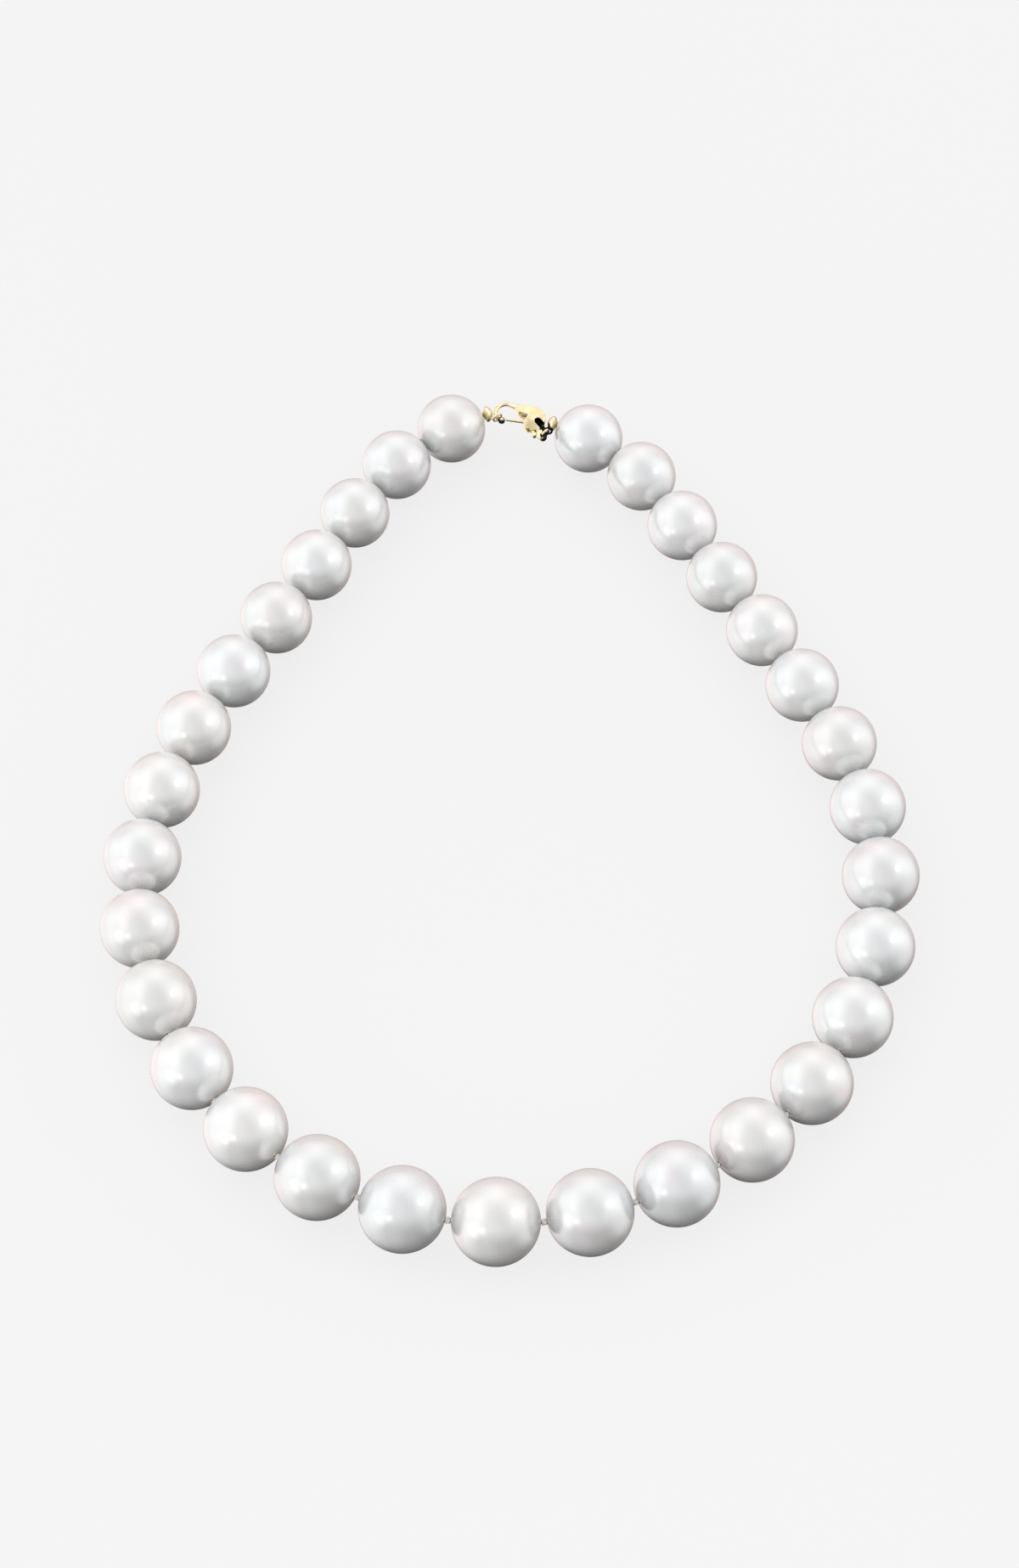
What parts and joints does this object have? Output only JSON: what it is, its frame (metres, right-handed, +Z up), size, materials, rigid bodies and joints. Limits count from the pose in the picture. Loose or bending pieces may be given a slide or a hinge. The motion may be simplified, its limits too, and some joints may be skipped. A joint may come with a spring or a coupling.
{
  "type": "pearl necklace",
  "caption": "Graduated strand of round drilled pearls knotted on silk, closed by a small gold lobster-claw clasp with bead tips and a jump ring.",
  "frame": {"origin": "centre of the necklace's outline in plan, on the surface that it lies on", "axes": "+Y from the front of the strand to the clasp, +X to the strand's right, +Z up from the surface"},
  "size_m": [0.1364, 0.1675, 0.0144],
  "materials": {
    "pearl": "lustrous nacre",
    "silk": "twisted silk thread",
    "gold": "polished",
    "steel_spring": "drawn wire"
  },
  "bodies": {
    "clasp_ends": {"left_bead_tip": "gold", "right_bead_tip": "gold"},
    "claw": {"claw_body": "gold", "gate_pin": "gold", "gate_spring": "steel_spring", "jump_ring": "gold"},
    "gate": {"gate_lever": "gold"},
    "row_01": {"silk_row_01": "silk"},
    "row_02": {"silk_row_02": "silk"},
    "row_03": {"silk_row_03": "silk"},
    "row_04": {"silk_row_04": "silk"},
    "row_05": {"silk_row_05": "silk"},
    "row_06": {"silk_row_06": "silk"},
    "row_07": {"silk_row_07": "silk"},
    "row_08": {"silk_row_08": "silk"},
    "row_09": {"silk_row_09": "silk"},
    "row_10": {"silk_row_10": "silk"},
    "row_11": {"silk_row_11": "silk"},
    "row_12": {"silk_row_12": "silk"},
    "row_13": {"silk_row_13": "silk"},
    "row_14": {"silk_row_14": "silk"},
    "row_15": {"silk_row_15": "silk", "silk_centre": "silk"},
    "turning_pearl_01": {"pearl_01": "pearl"},
    "turning_pearl_02": {"pearl_02": "pearl"},
    "turning_pearl_03": {"pearl_03": "pearl"},
    "turning_pearl_04": {"pearl_04": "pearl"},
    "turning_pearl_05": {"pearl_05": "pearl"},
    "turning_pearl_06": {"pearl_06": "pearl"},
    "turning_pearl_07": {"pearl_07": "pearl"},
    "turning_pearl_08": {"pearl_08": "pearl"},
    "turning_pearl_09": {"pearl_09": "pearl"},
    "turning_pearl_10": {"pearl_10": "pearl"},
    "turning_pearl_11": {"pearl_11": "pearl"},
    "turning_pearl_12": {"pearl_12": "pearl"},
    "turning_pearl_13": {"pearl_13": "pearl"},
    "turning_pearl_14": {"pearl_14": "pearl"},
    "turning_pearl_15": {"pearl_15": "pearl"},
    "turning_pearl_16": {"pearl_16": "pearl"},
    "turning_pearl_17": {"pearl_17": "pearl"},
    "turning_pearl_18": {"pearl_18": "pearl"},
    "turning_pearl_19": {"pearl_19": "pearl"},
    "turning_pearl_20": {"pearl_20": "pearl"},
    "turning_pearl_21": {"pearl_21": "pearl"},
    "turning_pearl_22": {"pearl_22": "pearl"},
    "turning_pearl_23": {"pearl_23": "pearl"},
    "turning_pearl_24": {"pearl_24": "pearl"},
    "turning_pearl_25": {"pearl_25": "pearl"},
    "turning_pearl_26": {"pearl_26": "pearl"},
    "turning_pearl_27": {"pearl_27": "pearl"},
    "turning_pearl_28": {"pearl_28": "pearl"},
    "turning_pearl_29": {"pearl_29": "pearl"},
    "turning_pearl_30": {"pearl_30": "pearl"},
    "turning_pearl_31": {"pearl_31": "pearl"}
  },
  "joints": [
    {"name": "gate_press", "type": "hinge", "parent": "claw", "child": "gate", "pos_m": [0.0006, 0.07962, 0.00605], "axis": [0, 0, -1], "range_deg": [0, 28], "stiffness_Nm_per_rad": 0.002, "springref_deg": -8.59},
    {"name": "clasp_swing", "type": "hinge", "parent": "clasp_ends", "child": "claw", "pos_m": [-0.00509, 0.08045, 0.00605], "axis": [0.961, -0.2765, 0], "range_deg": [-20, 20]},
    {"name": "row_fold_01", "type": "hinge", "parent": "clasp_ends", "child": "row_01", "pos_m": [-0.00105, 0.08007, 0.00605], "axis": [-0.9916, 0.1295, 0], "range_deg": [0, 20]},
    {"name": "row_fold_02", "type": "hinge", "parent": "row_01", "child": "row_02", "pos_m": [-0.00091, 0.07409, 0.00606], "axis": [-0.9995, 0.0331, 0], "range_deg": [0, 20]},
    {"name": "row_fold_03", "type": "hinge", "parent": "row_02", "child": "row_03", "pos_m": [-0.00093, 0.06414, 0.0061], "axis": [-0.9997, 0.0238, 0], "range_deg": [0, 20]},
    {"name": "row_fold_04", "type": "hinge", "parent": "row_03", "child": "row_04", "pos_m": [-0.00055, 0.05332, 0.00614], "axis": [-0.9999, 0.0118, 0], "range_deg": [0, 20]},
    {"name": "row_fold_05", "type": "hinge", "parent": "row_04", "child": "row_05", "pos_m": [-0.0001, 0.04237, 0.0062], "axis": [-1, 0.0029, 0], "range_deg": [0, 20]},
    {"name": "row_fold_06", "type": "hinge", "parent": "row_05", "child": "row_06", "pos_m": [0.00002, 0.03144, 0.00626], "axis": [-1, 0.0007, 0], "range_deg": [0, 20]},
    {"name": "row_fold_07", "type": "hinge", "parent": "row_06", "child": "row_07", "pos_m": [0.00009, 0.02027, 0.00633], "axis": [-1, -0.0001, 0], "range_deg": [0, 20]},
    {"name": "row_fold_08", "type": "hinge", "parent": "row_07", "child": "row_08", "pos_m": [0.00019, 0.00833, 0.00641], "axis": [-1, -0.001, 0], "range_deg": [0, 20]},
    {"name": "row_fold_09", "type": "hinge", "parent": "row_08", "child": "row_09", "pos_m": [0.00014, -0.00455, 0.00649], "axis": [-1, -0.0007, 0], "range_deg": [0, 20]},
    {"name": "row_fold_10", "type": "hinge", "parent": "row_09", "child": "row_10", "pos_m": [-0.00014, -0.01809, 0.00657], "axis": [-1, -0.0004, 0], "range_deg": [0, 20]},
    {"name": "row_fold_11", "type": "hinge", "parent": "row_10", "child": "row_11", "pos_m": [-0.00042, -0.03165, 0.00666], "axis": [-1, -0.0013, 0], "range_deg": [0, 20]},
    {"name": "row_fold_12", "type": "hinge", "parent": "row_11", "child": "row_12", "pos_m": [-0.00037, -0.04463, 0.00675], "axis": [-1, -0.001, 0], "range_deg": [0, 20]},
    {"name": "row_fold_13", "type": "hinge", "parent": "row_12", "child": "row_13", "pos_m": [-0.00049, -0.05626, 0.00684], "axis": [-1, -0.003, 0], "range_deg": [0, 20]},
    {"name": "row_fold_14", "type": "hinge", "parent": "row_13", "child": "row_14", "pos_m": [-0.00063, -0.06581, 0.00694], "axis": [-1, -0.0084, 0], "range_deg": [0, 20]},
    {"name": "row_fold_15", "type": "hinge", "parent": "row_14", "child": "row_15", "pos_m": [-0.0006, -0.07268, 0.00704], "axis": [-0.9999, -0.0109, 0], "range_deg": [0, 20]},
    {"name": "pearl_turn_01", "type": "hinge", "parent": "row_01", "child": "turning_pearl_01", "pos_m": [-0.01318, 0.0778, 0.00606], "axis": [-0.8704, -0.4923, 0.001], "continuous": true},
    {"name": "pearl_turn_02", "type": "hinge", "parent": "row_02", "child": "turning_pearl_02", "pos_m": [-0.02256, 0.06971, 0.00608], "axis": [-0.613, -0.7901, 0.0027], "continuous": true},
    {"name": "pearl_turn_03", "type": "hinge", "parent": "row_03", "child": "turning_pearl_03", "pos_m": [-0.0295, 0.05922, 0.00612], "axis": [-0.4876, -0.873, 0.0037], "continuous": true},
    {"name": "pearl_turn_04", "type": "hinge", "parent": "row_04", "child": "turning_pearl_04", "pos_m": [-0.03563, 0.04809, 0.00617], "axis": [-0.4773, -0.8787, 0.0044], "continuous": true},
    {"name": "pearl_turn_05", "type": "hinge", "parent": "row_05", "child": "turning_pearl_05", "pos_m": [-0.04204, 0.03697, 0.00623], "axis": [-0.5205, -0.8538, 0.0049], "continuous": true},
    {"name": "pearl_turn_06", "type": "hinge", "parent": "row_06", "child": "turning_pearl_06", "pos_m": [-0.04872, 0.02586, 0.0063], "axis": [-0.5103, -0.86, 0.0053], "continuous": true},
    {"name": "pearl_turn_07", "type": "hinge", "parent": "row_07", "child": "turning_pearl_07", "pos_m": [-0.05481, 0.01427, 0.00637], "axis": [-0.4187, -0.9081, 0.0056], "continuous": true},
    {"name": "pearl_turn_08", "type": "hinge", "parent": "row_08", "child": "turning_pearl_08", "pos_m": [-0.05939, 0.00184, 0.00645], "axis": [-0.2717, -0.9624, 0.0059], "continuous": true},
    {"name": "pearl_turn_09", "type": "hinge", "parent": "row_09", "child": "turning_pearl_09", "pos_m": [-0.06171, -0.01135, 0.00653], "axis": [-0.0746, -0.9972, 0.0062], "continuous": true},
    {"name": "pearl_turn_10", "type": "hinge", "parent": "row_10", "child": "turning_pearl_10", "pos_m": [-0.06118, -0.02492, 0.00661], "axis": [0.1503, -0.9886, 0.0064], "continuous": true},
    {"name": "pearl_turn_11", "type": "hinge", "parent": "row_11", "child": "turning_pearl_11", "pos_m": [-0.0575, -0.03821, 0.0067], "axis": [0.3782, -0.9257, 0.0065], "continuous": true},
    {"name": "pearl_turn_12", "type": "hinge", "parent": "row_12", "child": "turning_pearl_12", "pos_m": [-0.05081, -0.05054, 0.0068], "axis": [0.5684, -0.8227, 0.0067], "continuous": true},
    {"name": "pearl_turn_13", "type": "hinge", "parent": "row_13", "child": "turning_pearl_13", "pos_m": [-0.04137, -0.06125, 0.00689], "axis": [0.743, -0.6692, 0.0068], "continuous": true},
    {"name": "pearl_turn_14", "type": "hinge", "parent": "row_14", "child": "turning_pearl_14", "pos_m": [-0.02943, -0.06952, 0.00699], "axis": [0.8871, -0.4615, 0.0069], "continuous": true},
    {"name": "pearl_turn_15", "type": "hinge", "parent": "row_15", "child": "turning_pearl_15", "pos_m": [-0.01556, -0.07478, 0.00712], "axis": [0.9694, -0.2454, 0.0104], "continuous": true},
    {"name": "pearl_turn_16", "type": "hinge", "parent": "row_15", "child": "turning_pearl_16", "pos_m": [-0.00055, -0.07655, 0.0072], "axis": [0.9999, 0.0101, 0], "continuous": true},
    {"name": "pearl_turn_17", "type": "hinge", "parent": "row_15", "child": "turning_pearl_17", "pos_m": [0.01441, -0.07446, 0.00712], "axis": [0.9636, 0.2673, -0.0104], "continuous": true},
    {"name": "pearl_turn_18", "type": "hinge", "parent": "row_14", "child": "turning_pearl_18", "pos_m": [0.0282, -0.06897, 0.00699], "axis": [0.8832, 0.469, -0.0069], "continuous": true},
    {"name": "pearl_turn_19", "type": "hinge", "parent": "row_13", "child": "turning_pearl_19", "pos_m": [0.04025, -0.06081, 0.00689], "axis": [0.7621, 0.6475, -0.0068], "continuous": true},
    {"name": "pearl_turn_20", "type": "hinge", "parent": "row_12", "child": "turning_pearl_20", "pos_m": [0.04995, -0.05035, 0.0068], "axis": [0.5855, 0.8107, -0.0067], "continuous": true},
    {"name": "pearl_turn_21", "type": "hinge", "parent": "row_11", "child": "turning_pearl_21", "pos_m": [0.05671, -0.03808, 0.0067], "axis": [0.3706, 0.9288, -0.0065], "continuous": true},
    {"name": "pearl_turn_22", "type": "hinge", "parent": "row_10", "child": "turning_pearl_22", "pos_m": [0.06062, -0.02482, 0.00661], "axis": [0.1917, 0.9814, -0.0064], "continuous": true},
    {"name": "pearl_turn_23", "type": "hinge", "parent": "row_09", "child": "turning_pearl_23", "pos_m": [0.06171, -0.01129, 0.00653], "axis": [-0.0345, 0.9994, -0.0062], "continuous": true},
    {"name": "pearl_turn_24", "type": "hinge", "parent": "row_08", "child": "turning_pearl_24", "pos_m": [0.05971, 0.00194, 0.00645], "axis": [-0.264, 0.9645, -0.0059], "continuous": true},
    {"name": "pearl_turn_25", "type": "hinge", "parent": "row_07", "child": "turning_pearl_25", "pos_m": [0.05508, 0.01433, 0.00637], "axis": [-0.4342, 0.9008, -0.0056], "continuous": true},
    {"name": "pearl_turn_26", "type": "hinge", "parent": "row_06", "child": "turning_pearl_26", "pos_m": [0.04883, 0.02584, 0.0063], "axis": [-0.5198, 0.8543, -0.0053], "continuous": true},
    {"name": "pearl_turn_27", "type": "hinge", "parent": "row_05", "child": "turning_pearl_27", "pos_m": [0.04196, 0.03683, 0.00623], "axis": [-0.5405, 0.8413, -0.0049], "continuous": true},
    {"name": "pearl_turn_28", "type": "hinge", "parent": "row_04", "child": "turning_pearl_28", "pos_m": [0.03498, 0.0476, 0.00617], "axis": [-0.5472, 0.837, -0.0044], "continuous": true},
    {"name": "pearl_turn_29", "type": "hinge", "parent": "row_03", "child": "turning_pearl_29", "pos_m": [0.02802, 0.05824, 0.00612], "axis": [-0.5477, 0.8366, -0.0037], "continuous": true},
    {"name": "pearl_turn_30", "type": "hinge", "parent": "row_02", "child": "turning_pearl_30", "pos_m": [0.02072, 0.06851, 0.00608], "axis": [-0.6094, 0.7928, -0.0027], "continuous": true},
    {"name": "pearl_turn_31", "type": "hinge", "parent": "row_01", "child": "turning_pearl_31", "pos_m": [0.01122, 0.07635, 0.00606], "axis": [-0.8933, 0.4495, -0.001], "continuous": true}
  ]
}
